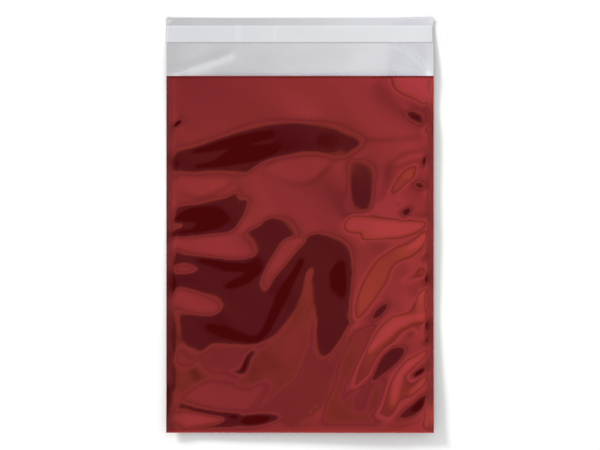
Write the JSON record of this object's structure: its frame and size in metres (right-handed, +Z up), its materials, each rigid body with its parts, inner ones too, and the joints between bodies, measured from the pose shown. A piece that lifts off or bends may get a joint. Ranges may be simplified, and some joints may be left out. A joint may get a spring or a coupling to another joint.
{
  "type": "poly mailer bag",
  "caption": "Flat mailing bag of red metallised film with welded sides, a folded bottom, and an open silver-lined flap whose peel-off liner covers a sealing band.",
  "frame": {"origin": "middle of the bag's outline, on the surface that it lies on", "axes": "+X across the bag, +Y along it from the bottom fold to the flap, +Z up out of the front panel"},
  "size_m": [0.32, 0.497, 0.0094],
  "materials": {
    "red_film": "metallised film, mirror gloss outside, satin silver inside",
    "hot_melt": "tacky satin",
    "liner_film": "translucent satin"
  },
  "bodies": {
    "root": {"film_bag": "red_film", "adhesive_strip": "hot_melt", "release_liner": "liner_film"}
  },
  "joints": []
}
